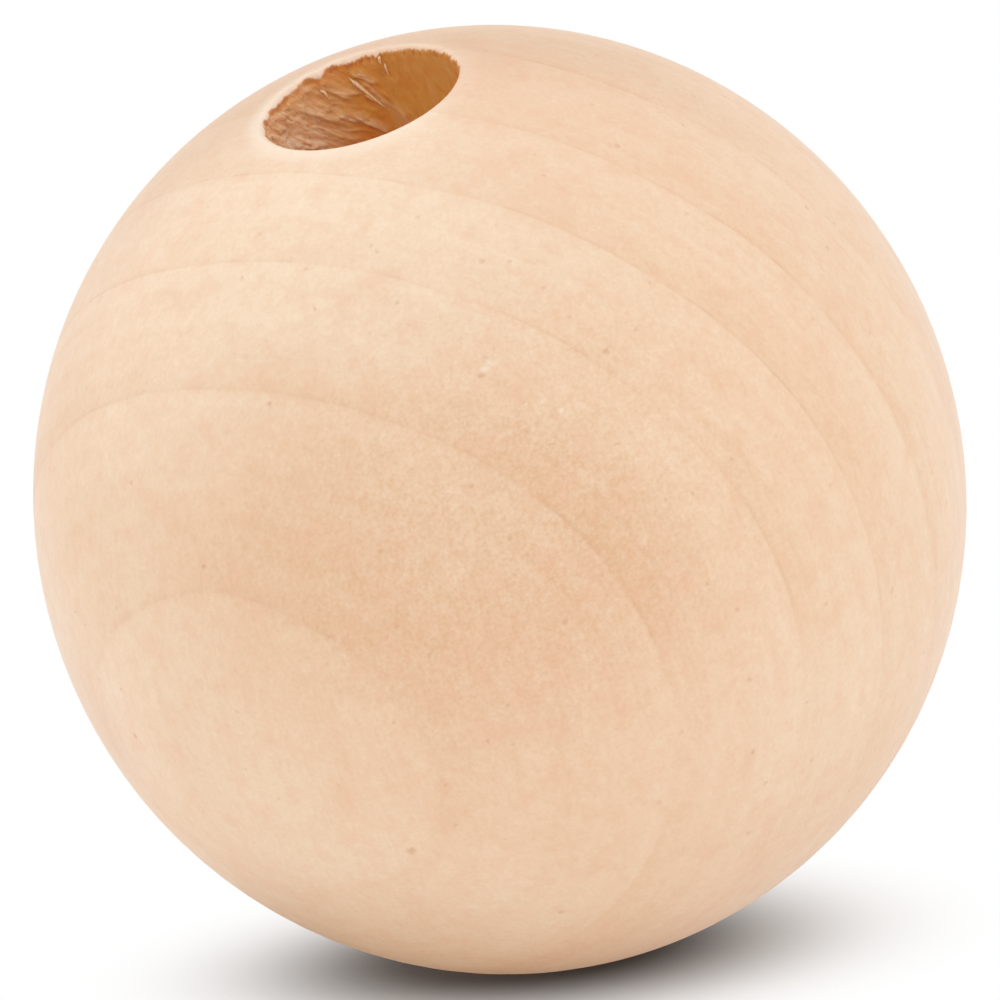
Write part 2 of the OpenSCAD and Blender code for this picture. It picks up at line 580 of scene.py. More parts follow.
# Broad patches of warmer tone, or paler where the share is under 0, some of them painted highlight and
# painted shade as marked, and of rosier wood:
# heart and the distances between which each fades, in mm, and share
TONE_AND_PAINTED_LIGHT_PATCHES = (
    # Warmer at the front: partly the wood's own tone, partly painted shade where the front gets less light
    ((-5.0, -20.3, 7.8), (3.0, 17.0), 0.32),
    # Paler high on the left under the mouth, this and the next: a painted highlight
    ((-4.5, -11.5, 18.8), (3.0, 19.0), -0.22),
    ((-13.3, -1.7, 17.8), (2.0, 12.0), -0.08),
    ((8.8, -19.7, -6.1), (2.0, 9.0), -0.07),
    # Warmer at the foot: painted shade over the floor
    ((-8.0, -8.0, -20.0), (5.0, 16.0), 0.33),
    ((-18.0, -9.5, -9.0), (1.0, 8.0), 0.12),
    ((-21.5, -6.2, -1.5), (0.5, 5.5), 0.20),
    # Warmer low at the front of the foot: painted shade
    ((-1.4, -14.0, -17.0), (1.0, 7.0), 0.14),
    # Paler on the right side: a painted sheen
    ((19.9, -9.5, 3.8), (1.0, 8.0), -0.12),
    ((-7.3, -16.2, 13.6), (1.0, 7.0), 0.10),
    ((-13.0, -18.2, -0.6), (2.0, 9.0), -0.08),
)
ROSY_PATCHES = (
    ((2.5, -21.8, -3.0), (3.0, 13.0), 0.15),
    ((8.5, -5.0, 20.0), (2.0, 10.0), 0.16),
    ((-0.5, 8.5, 20.3), (1.0, 14.0), 0.32),
    ((5.3, -0.5, 21.7), (0.5, 5.0), 0.25),
)
# Open pores: angle round the axis and above the waist in degrees, and width in mm
PORES = (
    (-67.5, 36.5, 0.30), (-86.5, 40.0, 0.32), (-121.5, 42.5, 0.26), (-70.0, -17.0, 0.26),
    (-101.0, -32.5, 0.30), (-115.5, -15.5, 0.42), (-153.0, -1.0, 0.28), (-133.0, 23.5, 0.26),
    (40.0, 12.0, 0.30), (118.0, -20.0, 0.30), (-84.8, 42.1, 0.20),
)
# Flecks of lifted fibre, given in the same way
FLECKS = (
    (-85.5, 40.7, 0.40), (-84.5, 41.2, 0.30), (-77.8, 32.7, 0.26), (-79.5, 34.5, 0.24), (-82.0, 35.0, 0.22),
    (60.0, 20.0, 0.40), (150.0, 30.0, 0.35),
)
# How plain a pore and a fleck are at the heart, and the share of the width at which they have faded
PORE_SHARE = 0.42
FLECK_SHARE = 0.55
SPOT_FADE = 0.8
# Their outlines wave by this much over this length
RAGGED_DEPTH_MM = 0.3
RAGGED_MM = 0.25
# A scatter of fainter pores: their spacing, and their share by the distance from the heart in spacings
SCATTER_MM = 1.6
SCATTER_RANGE = (0.0, 0.12, 0.30, 0.0)
# Share of the painted highlight's cream colour round the mouth's edge
EDGE_HIGHLIGHT_SHARE = 0.45
# Torn fibres in the bore run along the strands and bend by up to this much over this length
BEND_DEPTH_MM = 0.5
BEND_MM = 0.9
FIBRE_MM = (0.12, 0.12, 0.9)
BLOTCH_MM = (0.4, 0.4, 0.7)
BLOTCH_RANGE = (0.38, 0.62, 0.0, 1.0)
# Dark gaps: painted shade between fibres and low between strands, and darker wood in blotches
FIBRE_SHADE_RANGE = (0.38, 0.60, 0.45, 0.0)
LOW_SHADE_RANGE = (0.15, 0.60, 0.95, 0.0)
SMEAR_RANGE = (0.0, 1.0, 0.65, 0.0)
# Pale torn wood, partly painted light on the side of the bore that faces the light: towards that side, in
# blotches, on single fibres, and less under the painted shade below the mouth
SIDE_RANGE = (-0.02 * BORE_RADIUS, -0.95 * BORE_RADIUS, 0.0, 1.6)
PALE_BLOTCH_RANGE = (0.0, 1.0, 0.52, 1.0)
HAIR_RANGE = (0.35, 0.65, 0.45, 1.15)
UNSHADED_RANGE = (0.05, 0.60, 1.20, 0.10)
# Bare wood's index of refraction; roughness and depth of the relief of the sanded and the drilled wood
WOOD_IOR = 1.5
SANDED_ROUGHNESS = 0.34
DRILLED_ROUGHNESS = 0.85
SANDED_RELIEF = 0.004 * MM
DRILLED_RELIEF = 0.06 * MM
RELIEF_STRENGTH = 0.6


def empty_material(name):
    """A new material, its empty node tree, and the places on its piece."""
    material = bpy.data.materials.new(name)
    material.use_nodes = True
    tree = material.node_tree
    tree.nodes.clear()
    return material, tree, add(tree, "ShaderNodeTexCoord").outputs["Object"]


def per(sizes):
    """Pattern scales from sizes in mm: one over each."""
    return tuple(1.0 / size for size in sizes)


def growth_years(tree, mm):
    """Years of growth: places beside the pith, distance from it in mm, and the years' tone and lines.

    The distance wanders slowly, and the years' radii turn it to a number of years, whose fraction is read
    as tone and line. Both fade in and out along the years, and the lines more than the tone towards the foot.
    """
    turned = add(
        tree, "ShaderNodeMapping", vector_type="TEXTURE",
        named={"Vector": mm, "Location": PITH_MM, "Rotation": [math.radians(a) for a in GRAIN_LEAN_DEG]},
    ).outputs[0]
    flat = add(tree, "ShaderNodeVectorMath", turned, (1, 1, 0), operation="MULTIPLY").outputs[0]
    distance = add(tree, "ShaderNodeVectorMath", flat, operation="LENGTH").outputs["Value"]
    wander = add(
        tree, "ShaderNodeTexNoise", named={"Vector": mm, "Scale": 1 / WANDER_MM, "Detail": 1.5}
    ).outputs[0]
    wander = add(tree, "ShaderNodeMath", wander, 0.5, operation="SUBTRACT").outputs[0]
    distance = add(
        tree, "ShaderNodeMath", wander, WANDER_DEPTH_MM, distance, operation="MULTIPLY_ADD"
    ).outputs[0]
    first, last = YEAR_RADII_MM[0], YEAR_RADII_MM[-1]
    years = len(YEAR_RADII_MM) - 1
    across = add(tree, "ShaderNodeMapRange", distance, first, last, 0.0, 1.0).outputs[0]
    growth = add(tree, "ShaderNodeFloatCurve", named={"Value": across})
    curve = growth.mapping.curves[0]
    for number, radius in enumerate(YEAR_RADII_MM[1:-1], start=1):
        curve.points.new((radius - first) / (last - first), number / years)
    for point in curve.points:
        point.handle_type = "VECTOR"
    growth.mapping.update()
    age = add(tree, "ShaderNodeMath", growth.outputs[0], years, operation="MULTIPLY").outputs[0]
    phase = add(tree, "ShaderNodeMath", age, operation="FRACT").outputs[0]
    tone = add(tree, "ShaderNodeValToRGB", phase)
    strength = add(tree, "ShaderNodeValToRGB", across)
    for node, stops in ((tone, YEAR_TONE), (strength, YEAR_STRENGTH)):
        ramp = node.color_ramp
        while len(ramp.elements) < len(stops):
            ramp.elements.new(0.5)
        for element, (at, level) in zip(ramp.elements, stops):
            element.position = at
            element.color = (level, level, level, 1)

    # Tone
    high = add(tree, "ShaderNodeSeparateXYZ", mm).outputs[2]
    fade = add(tree, "ShaderNodeTexNoise", named={"Vector": mm, "Scale": 1 / FADE_MM, "Detail": 2}).outputs[0]
    fade = add(tree, "ShaderNodeMapRange", fade, *FADE_RANGE).outputs[0]
    fade = add(tree, "ShaderNodeMath", fade, strength.outputs[0], operation="MULTIPLY").outputs[0]
    rings = add(
        tree, "ShaderNodeMapRange", high, *FOOT_TONE_RANGE, interpolation_type="SMOOTHSTEP"
    ).outputs[0]
    rings = add(tree, "ShaderNodeMath", rings, fade, operation="MULTIPLY").outputs[0]
    rings = add(tree, "ShaderNodeMath", rings, tone.outputs[0], operation="MULTIPLY").outputs[0]

    # Lines
    line = add(tree, "ShaderNodeMapRange", phase, *LINE_RANGE).outputs[0]
    late = add(tree, "ShaderNodeMath", distance, *FALSE_YEAR_MM, operation="COMPARE").outputs[0]
    line = add(tree, "ShaderNodeMath", late, FALSE_YEAR_SHARE, line, operation="MULTIPLY_ADD").outputs[0]
    broken = add(
        tree, "ShaderNodeTexNoise", named={"Vector": mm, "Scale": 1 / BROKEN_MM, "Detail": 2}
    ).outputs[0]
    broken = add(tree, "ShaderNodeMapRange", broken, *BROKEN_RANGE).outputs[0]
    upper = add(
        tree, "ShaderNodeMapRange", high, *FOOT_LINE_RANGE, interpolation_type="SMOOTHSTEP"
    ).outputs[0]
    for share in (broken, fade, upper):
        line = add(tree, "ShaderNodeMath", line, share, operation="MULTIPLY").outputs[0]
    return turned, distance, rings, line


def fine_figure(tree, mm, turned, distance, warm):
    """Adds the fine figure to the wood's warmth, each by its share, and gives the stipple too."""
    stipple = add(
        tree, "ShaderNodeTexNoise",
        named={"Vector": mm, "Scale": 1 / STIPPLE_MM, "Detail": 2, "Roughness": 0.6},
    ).outputs[0]
    spots = add(
        tree, "ShaderNodeTexNoise", named={"Vector": mm, "Scale": 1 / SPOTS_MM, "Detail": 1}
    ).outputs[0]
    mottle = add(
        tree, "ShaderNodeTexNoise", named={"Vector": mm, "Scale": 1 / MOTTLE_MM, "Detail": 2}
    ).outputs[0]
    drawn = add(tree, "ShaderNodeVectorMath", mm, per(DRAWN_MM), operation="MULTIPLY").outputs[0]
    drawn = add(tree, "ShaderNodeTexNoise", named={"Vector": drawn, "Scale": 1.0, "Detail": 2}).outputs[0]
    parts = add(tree, "ShaderNodeSeparateXYZ", turned)
    streak = add(tree, "ShaderNodeCombineXYZ", parts.outputs[0], parts.outputs[2], distance).outputs[0]
    streak = add(tree, "ShaderNodeVectorMath", streak, per(STREAK_MM), operation="MULTIPLY").outputs[0]
    streak = add(tree, "ShaderNodeTexNoise", named={"Vector": streak, "Scale": 1.0, "Detail": 2}).outputs[0]
    drift = add(
        tree, "ShaderNodeTexNoise", named={"Vector": mm, "Scale": 1 / DRIFT_MM, "Detail": 2}
    ).outputs[0]
    grain = add(tree, "ShaderNodeVectorMath", mm, GRAINY_PATCH_MM, operation="DISTANCE").outputs["Value"]
    grain = add(
        tree, "ShaderNodeMapRange", grain, *GRAINY_RANGE, interpolation_type="SMOOTHSTEP"
    ).outputs[0]
    speck = add(tree, "ShaderNodeMath", grain, SPOTS_SHARE, operation="MULTIPLY").outputs[0]
    figures = (
        (stipple, grain), (spots, speck), (mottle, MOTTLE_SHARE), (drawn, DRAWN_SHARE),
        (streak, STREAK_SHARE), (drift, DRIFT_SHARE),
    )
    for figure, share in figures:
        level = add(tree, "ShaderNodeMath", figure, 0.5, operation="SUBTRACT").outputs[0]
        warm = add(tree, "ShaderNodeMath", level, share, warm, operation="MULTIPLY_ADD").outputs[0]
    return warm, stipple


def broad_patches(tree, mm, level, patches):
    """Adds broad patches to a level, each by its share at its heart and smoothly less round it."""
    for heart, fades, share in patches:
        patch = add(tree, "ShaderNodeVectorMath", mm, heart, operation="DISTANCE").outputs["Value"]
        patch = add(
            tree, "ShaderNodeMapRange", patch, *fades, share, 0.0, interpolation_type="SMOOTHSTEP"
        ).outputs[0]
        level = add(tree, "ShaderNodeMath", level, patch, operation="ADD").outputs[0]
    return level


def small_spots(tree, places, level, spots, share):
    """Lays small spots of that share over a level, at angles round the ball and above its waist."""
    for turn, rise, wide in spots:
        radius = BALL_RADIUS / MM * math.cos(math.radians(rise))
        heart = (
            radius * math.cos(math.radians(turn)),
            radius * math.sin(math.radians(turn)),
            CROWN_HEIGHT / MM * math.sin(math.radians(rise)),
        )
        away = add(tree, "ShaderNodeVectorMath", places, heart, operation="DISTANCE").outputs["Value"]
        spot = add(
            tree, "ShaderNodeMapRange", away, 0.0, SPOT_FADE * wide, share, 0.0,
            interpolation_type="SMOOTHSTEP",
        ).outputs[0]
        level = add(tree, "ShaderNodeMath", level, spot, operation="MAXIMUM").outputs[0]
    return level


def sanded_wood(tree, look, where):
    """Colour of the turned and sanded wood, and the stipple that its surface follows."""
    mm = add(tree, "ShaderNodeVectorMath", where, TO_MM, operation="MULTIPLY").outputs[0]
    turned, distance, rings, line = growth_years(tree, mm)
    warm = add(tree, "ShaderNodeMath", rings, YEARS_SHARE, PLAIN_WARMTH, operation="MULTIPLY_ADD").outputs[0]
    warm, stipple = fine_figure(tree, mm, turned, distance, warm)
    # Broad patches: the wood's own tone, with painted highlight and painted shade among them
    warm = broad_patches(tree, mm, warm, TONE_AND_PAINTED_LIGHT_PATCHES)
    blush = add(
        tree, "ShaderNodeTexNoise", named={"Vector": mm, "Scale": 1 / BLUSH_MM, "Detail": 3, "Roughness": 0.6}
    ).outputs[0]
    blush = add(tree, "ShaderNodeMapRange", blush, *BLUSH_RANGE).outputs[0]
    blush = broad_patches(tree, mm, blush, ROSY_PATCHES)

    # Pores and flecks: those that show plainly, with ragged outlines, and a scatter of fainter pores
    ragged = add(
        tree, "ShaderNodeTexNoise", named={"Vector": mm, "Scale": 1 / RAGGED_MM, "Detail": 1}
    ).outputs[1]
    ragged = add(
        tree, "ShaderNodeVectorMath", ragged, [RAGGED_DEPTH_MM] * 3, mm, operation="MULTIPLY_ADD"
    ).outputs[0]
    ragged = add(
        tree, "ShaderNodeVectorMath", ragged, [0.5 * RAGGED_DEPTH_MM] * 3, operation="SUBTRACT"
    ).outputs[0]
    scatter = add(
        tree, "ShaderNodeTexVoronoi", named={"Vector": ragged, "Scale": 1 / SCATTER_MM}
    ).outputs["Distance"]
    pores = add(
        tree, "ShaderNodeMapRange", scatter, *SCATTER_RANGE, interpolation_type="SMOOTHSTEP"
    ).outputs[0]
    pores = small_spots(tree, ragged, pores, PORES, PORE_SHARE)
    flecks = small_spots(tree, ragged, 0.0, FLECKS, FLECK_SHARE)
    # Painted highlight round the mouth's edge
    edge_highlight = add(tree, "ShaderNodeAttribute", attribute_name="edge_highlight").outputs["Fac"]
    edge_highlight = add(tree, "ShaderNodeMath", edge_highlight, EDGE_HIGHLIGHT_SHARE, operation="MULTIPLY").outputs[0]

    wood = look.earlywood
    layers = (
        (warm, look.latewood), (blush, look.blush), (line, look.year_line), (pores, look.pore),
        (flecks, look.fleck), (edge_highlight, look.rim_highlight),
    )
    for share, tint in layers:
        wood = add(tree, "ShaderNodeMix", data_type="RGBA", named={0: share, 6: wood, 7: tint}).outputs[2]
    return wood, stipple


def drilled_wall(tree, look, where):
    """Colour of the bore's wall, and the fibres that its surface follows.

    It is burnished orange brown where the drill cut clean, with painted shade in its gaps and below the
    mouth, darker wood in blotches, and pale on strands and where it tore, on one side partly as painted
    light. Fibres run along the strands.
    """
    raised, light, torn, mouth_shade = (
        add(tree, "ShaderNodeAttribute", attribute_name=key).outputs["Fac"]
        for key in ("raised", "pale", "torn", "mouth_shade")
    )
    strand = add(tree, "ShaderNodeAttribute", attribute_name="strand").outputs["Vector"]
    strand = add(tree, "ShaderNodeVectorMath", strand, TO_MM, operation="MULTIPLY").outputs[0]
    bend = add(
        tree, "ShaderNodeTexNoise", named={"Vector": strand, "Scale": 1 / BEND_MM, "Detail": 1}
    ).outputs[1]
    strand = add(
        tree, "ShaderNodeVectorMath", bend, [BEND_DEPTH_MM] * 3, strand, operation="MULTIPLY_ADD"
    ).outputs[0]
    fibre = add(tree, "ShaderNodeVectorMath", strand, per(FIBRE_MM), operation="MULTIPLY").outputs[0]
    fibre = add(
        tree, "ShaderNodeTexNoise", named={"Vector": fibre, "Scale": 1.0, "Detail": 3, "Roughness": 0.6}
    ).outputs[0]
    blotch = add(tree, "ShaderNodeVectorMath", strand, per(BLOTCH_MM), operation="MULTIPLY").outputs[0]
    blotch = add(tree, "ShaderNodeTexNoise", named={"Vector": blotch, "Scale": 1.0, "Detail": 3}).outputs[0]
    blotch = add(tree, "ShaderNodeMapRange", blotch, *BLOTCH_RANGE).outputs[0]

    # Painted shade where the fibres and strands are low, and darker wood in blotches
    dark = add(tree, "ShaderNodeMapRange", fibre, *FIBRE_SHADE_RANGE).outputs[0]
    low = add(tree, "ShaderNodeMapRange", raised, *LOW_SHADE_RANGE).outputs[0]
    low = add(tree, "ShaderNodeMath", low, torn, operation="MULTIPLY").outputs[0]
    smear = add(tree, "ShaderNodeMapRange", blotch, *SMEAR_RANGE).outputs[0]
    for share in (low, smear):
        dark = add(tree, "ShaderNodeMath", dark, share, operation="MAXIMUM").outputs[0]

    # Paler towards one side of the bore: partly pale torn wood, partly painted light where that wall faces
    # the light
    side = add(tree, "ShaderNodeSeparateXYZ", where).outputs[0]
    side = add(tree, "ShaderNodeMapRange", side, *SIDE_RANGE).outputs[0]
    blotch = add(tree, "ShaderNodeMapRange", blotch, *PALE_BLOTCH_RANGE).outputs[0]
    pale = add(tree, "ShaderNodeMath", side, blotch, operation="MULTIPLY").outputs[0]
    pale = add(tree, "ShaderNodeMath", pale, light, operation="MAXIMUM").outputs[0]
    hair = add(tree, "ShaderNodeMapRange", fibre, *HAIR_RANGE).outputs[0]
    # Pale wood shows less under the painted shade below the mouth
    clean = add(tree, "ShaderNodeMapRange", mouth_shade, *UNSHADED_RANGE).outputs[0]
    for share in (hair, clean):
        pale = add(tree, "ShaderNodeMath", pale, share, operation="MULTIPLY").outputs[0]

    wall = look.drilled
    for share, tint in ((dark, look.gap), (mouth_shade, look.mouth_shade), (pale, look.strand)):
        wall = add(tree, "ShaderNodeMix", data_type="RGBA", named={0: share, 6: wall, 7: tint}).outputs[2]
    return wall, fibre


def sanded_birch(look):
    """Birch, turned and sanded, left bare: pale satin wood with faint years, fine stipple and pores."""
    material, tree, where = empty_material("sanded_birch")
    wood, stipple = sanded_wood(tree, look, where)
    bump = add(
        tree, "ShaderNodeBump",
        named={"Strength": RELIEF_STRENGTH, "Distance": SANDED_RELIEF, "Height": stipple},
    ).outputs[0]
    surface = add(
        tree, "ShaderNodeBsdfPrincipled",
        named={"Base Color": wood, "Roughness": SANDED_ROUGHNESS, "IOR": WOOD_IOR, "Normal": bump},
    ).outputs[0]
    add(tree, "ShaderNodeOutputMaterial", surface)
    return material


def drilled_birch(look):
    """Birch cut by a drill: sanded wood reaches over the mouth's edge, and matt fibrous wood follows."""
    material, tree, where = empty_material("drilled_birch")
    wood, stipple = sanded_wood(tree, look, where)
    wall, fibre = drilled_wall(tree, look, where)
    drilled = add(tree, "ShaderNodeAttribute", attribute_name="drilled").outputs["Fac"]
    colour = add(tree, "ShaderNodeMix", data_type="RGBA", named={0: drilled, 6: wood, 7: wall}).outputs[2]
    gloss = add(
        tree, "ShaderNodeMapRange", drilled, 0.0, 1.0, SANDED_ROUGHNESS, DRILLED_ROUGHNESS
    ).outputs[0]
    relief = add(tree, "ShaderNodeMix", named={0: drilled, 2: stipple, 3: fibre}).outputs[0]
    depth = add(tree, "ShaderNodeMapRange", drilled, 0.0, 1.0, SANDED_RELIEF, DRILLED_RELIEF).outputs[0]
    bump = add(
        tree, "ShaderNodeBump", named={"Strength": RELIEF_STRENGTH, "Distance": depth, "Height": relief}
    ).outputs[0]
    surface = add(
        tree, "ShaderNodeBsdfPrincipled",
        named={"Base Color": colour, "Roughness": gloss, "IOR": WOOD_IOR, "Normal": bump},
    ).outputs[0]
    add(tree, "ShaderNodeOutputMaterial", surface)
    return material


class DOWELCAP_OT_ball(bpy.types.Operator):
    """Build the ball's skin with its drilled bore"""

    bl_idname = "dowelcap.ball"
    bl_label = "Ball"

    def execute(self, context):
        look = context.scene.dowelcap_look
        points, values = ball_skin(context.scene.dowelcap_shape, np.random.default_rng(SEED))
        mesh = closed_grids("turned_ball", points[None], {key: value[None] for key, value in values.items()})
        ball = bpy.data.objects.new("turned_ball", mesh)
        context.scene.collection.objects.link(ball)
        mesh.materials.append(sanded_birch(look))
        mesh.materials.append(drilled_birch(look))
        # Faces past the ball's last row are drilled wood, and so is the last fan, at the drill's point
        inside = np.zeros(len(mesh.polygons), np.int32)
        inside[(BALL_ROWS - 2) * COLUMNS:-2 * COLUMNS] = 1
        inside[-COLUMNS:] = 1
        mesh.polygons.foreach_set("material_index", inside)
        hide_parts(NODE)
        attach(ball, BODY)
        return {"FINISHED"}


# Slivers that stand off the wall: angle in degrees and depth in mm of root and tip, lift and width in mm
PLAIN_SLIVERS = (
    (93, 0.9, 77, 2.8, 0.45, 0.28), (71.5, 0.3, 72, 0.75, 0.05, 0.22), (69.8, 0.7, 69.5, 1.4, 0.05, 0.16),
    (111.5, 0.9, 109.5, 1.35, 0.22, 0.26),
)
# Slivers scattered about, and the ranges of their angles, depths, lengths, lifts and widths
MORE_SLIVERS = 8
SLIVER_TURNS_DEG = (62, 250)
SLIVER_DEPTHS_MM = (0.1, 2.6)
SLIVER_LENGTHS_MM = (0.6, 1.5)
SLIVER_LIFTS_MM = (0.0, 0.12)
SLIVER_WIDTHS_MM = (0.10, 0.22)
# Spread of their lean and of every sliver's bow, in radians
SLIVER_LEAN_SPREAD = 0.22
SLIVER_BOW_SPREAD = 0.012
# Height of a sliver's root over the wall
SLIVER_ROOT_MM = 0.11
SLIVER_ROWS = 11
SLIVER_SIDES = 4
# Streaks on the slivers, and how far they go from the strands' colour to the drilled wall's
SLIVER_STREAK_MM = (0.08, 0.08, 0.6)
SLIVER_STREAK_RANGE = (0.35, 0.70, 0.15, 0.75)
SLIVER_RELIEF = 0.03 * MM
SLIVER_RELIEF_STRENGTH = 0.4
SLIVER_ROUGHNESS = 0.9
SLIVER_SPECULAR = 0.2


def slivers(shape, rng):
    """Points of the torn slivers: a small diamond section carried along a bowed path over the bore's wall.

    On the unrolled wall the path runs from root to tip with a bow of 4t(1 - t). Its height over the wall is
    the root's and lift t^0.8, so that the root is among the flakes. Its width tapers to nothing at both ends,
    as 5t up to its whole and as (1 - t)^0.6.
    """
    at = rng.uniform(*np.radians(SLIVER_TURNS_DEG), MORE_SLIVERS)
    down = rng.uniform(*SLIVER_DEPTHS_MM, MORE_SLIVERS)
    long = rng.uniform(*SLIVER_LENGTHS_MM, MORE_SLIVERS)
    lean = shape.strand_lean + rng.normal(0.0, SLIVER_LEAN_SPREAD, MORE_SLIVERS)
    lift = rng.uniform(*SLIVER_LIFTS_MM, MORE_SLIVERS)
    wide = rng.uniform(*SLIVER_WIDTHS_MM, MORE_SLIVERS)
    bore = shape.bore_radius / MM
    drawn = np.stack([at, down, at - long * np.sin(lean) / bore, down + long * np.cos(lean), lift, wide], -1)
    plain = np.array(PLAIN_SLIVERS, float)
    plain[:, [0, 2]] = np.radians(plain[:, [0, 2]])
    turn0, down0, turn1, down1, lift, wide = np.concatenate([plain, drawn]).T[:, :, None]
    bow = rng.normal(0.0, SLIVER_BOW_SPREAD, (len(turn0), 1))

    t = np.linspace(0.0, 1.0, SLIVER_ROWS)[None, :]
    turn = turn0 + (turn1 - turn0) * t + bow * 4.0 * t * (1.0 - t)
    depth = down0 + (down1 - down0) * t
    off = SLIVER_ROOT_MM + lift * t ** 0.8
    half = 0.5 * wide * np.clip(t * 5.0, 0.0, 1.0) * (1.0 - t) ** 0.6
    around = np.linspace(2.0 * np.pi, 0.0, SLIVER_SIDES, endpoint=False)
    run = np.arctan2(turn1 - turn0, (down1 - down0) / bore)
    sideways = half[..., None] * np.cos(around)
    outwards = 0.5 * half[..., None] * np.sin(around)
    radius = bore - off[..., None] - outwards
    angle = turn[..., None] + sideways * np.cos(run)[..., None] / bore
    height = mouth_height(shape) / MM - depth[..., None] + sideways * np.sin(run)[..., None]
    return MM * np.stack([radius * np.cos(angle), radius * np.sin(angle), height], -1)


def torn_birch(look):
    """Birch torn along the grain: pale matt strands, streaked darker along their length."""
    material, tree, where = empty_material("torn_birch")
    mm = add(tree, "ShaderNodeVectorMath", where, TO_MM, operation="MULTIPLY").outputs[0]
    streak = add(tree, "ShaderNodeVectorMath", mm, per(SLIVER_STREAK_MM), operation="MULTIPLY").outputs[0]
    streak = add(tree, "ShaderNodeTexNoise", named={"Vector": streak, "Scale": 1.0, "Detail": 2}).outputs[0]
    dark = add(tree, "ShaderNodeMapRange", streak, *SLIVER_STREAK_RANGE).outputs[0]
    colour = add(
        tree, "ShaderNodeMix", data_type="RGBA", named={0: dark, 6: look.strand, 7: look.drilled}
    ).outputs[2]
    bump = add(
        tree, "ShaderNodeBump",
        named={"Strength": SLIVER_RELIEF_STRENGTH, "Distance": SLIVER_RELIEF, "Height": streak},
    ).outputs[0]
    surface = add(
        tree, "ShaderNodeBsdfPrincipled",
        named={
            "Base Color": colour,
            "Roughness": SLIVER_ROUGHNESS,
            "IOR": WOOD_IOR,
            "Specular IOR Level": SLIVER_SPECULAR,
            "Normal": bump,
        },
    ).outputs[0]
    add(tree, "ShaderNodeOutputMaterial", surface)
    return material


class DOWELCAP_OT_fibres(bpy.types.Operator):
    """Build the torn slivers that stand off the bore's wall"""

    bl_idname = "dowelcap.fibres"
    bl_label = "Torn Fibres"

    def execute(self, context):
        points = slivers(context.scene.dowelcap_shape, np.random.default_rng(SEED + 1))
        fibres = bpy.data.objects.new("torn_fibres", closed_grids("torn_fibres", points, {}))
        context.scene.collection.objects.link(fibres)
        fibres.data.materials.append(torn_birch(context.scene.dowelcap_look))
        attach(fibres, BODY)
        return {"FINISHED"}


FLOOR_RADIUS = 1.5
FLOOR_SPOKES = 96
FLOOR_RINGS = 24
# Turns places in metres to mm on the floor's plane
FLAT_TO_MM = (1000, 1000, 0)
# The oval of painted shadow on the floor: centre and half lengths in mm, and its turn in degrees
SHADE_CENTRE_MM = (-6.0, -1.8, 0.0)
SHADE_REACH_MM = (16.9, 5.8, 1.0)
SHADE_TURN_DEG = -31.0
# The shade begins to fade at the first share of that reach and is gone at the second
SHADE_FADE = (0.33, 1.57)
# Reflections show a floor with painted shade round this point, fading to white between these distances in mm
UNDER_CENTRE_MM = (-13.5, -4.7, 0.0)
UNDER_FADE_MM = (5.0, 27.0)
# Those reflections get a painted tinge: painted bounce light off the wood close by, and the dim tent's end
# far off, painted too
NEAR_TINGE_MM = (26.0, 42.0)
FAR_TINGE_MM = (95.0, 150.0)
WHITE = (1.0, 1.0, 1.0, 1.0)


def floor_mesh(height):
    """Round floor: a grid of rings and spokes, radius growing with the square of the ring's number."""
    turn = np.linspace(0.0, 2.0 * np.pi, FLOOR_SPOKES, endpoint=False)
    reach = FLOOR_RADIUS * np.linspace(0.0, 1.0, FLOOR_RINGS + 1)[1:] ** 2
    ring = np.stack([np.outer(reach, np.cos(turn)), np.outer(reach, np.sin(turn))], -1).reshape(-1, 2)
    verts = np.zeros((len(ring) + 1, 3))
    verts[:-1, :2] = ring
    verts[:, 2] = height
    index = np.arange(len(ring)).reshape(FLOOR_RINGS, FLOOR_SPOKES)
    right = np.roll(index, -1, axis=1)
    quads = np.stack([index[:-1], index[1:], right[1:], right[:-1]], -1).reshape(-1, 4)
    middle = np.stack([np.full(FLOOR_SPOKES, len(ring)), index[0], right[0]], -1)
    mesh = bpy.data.meshes.new("floor")
    mesh.from_pydata(verts.tolist(), [], quads.tolist() + middle.tolist())
    mesh.update()
    return mesh


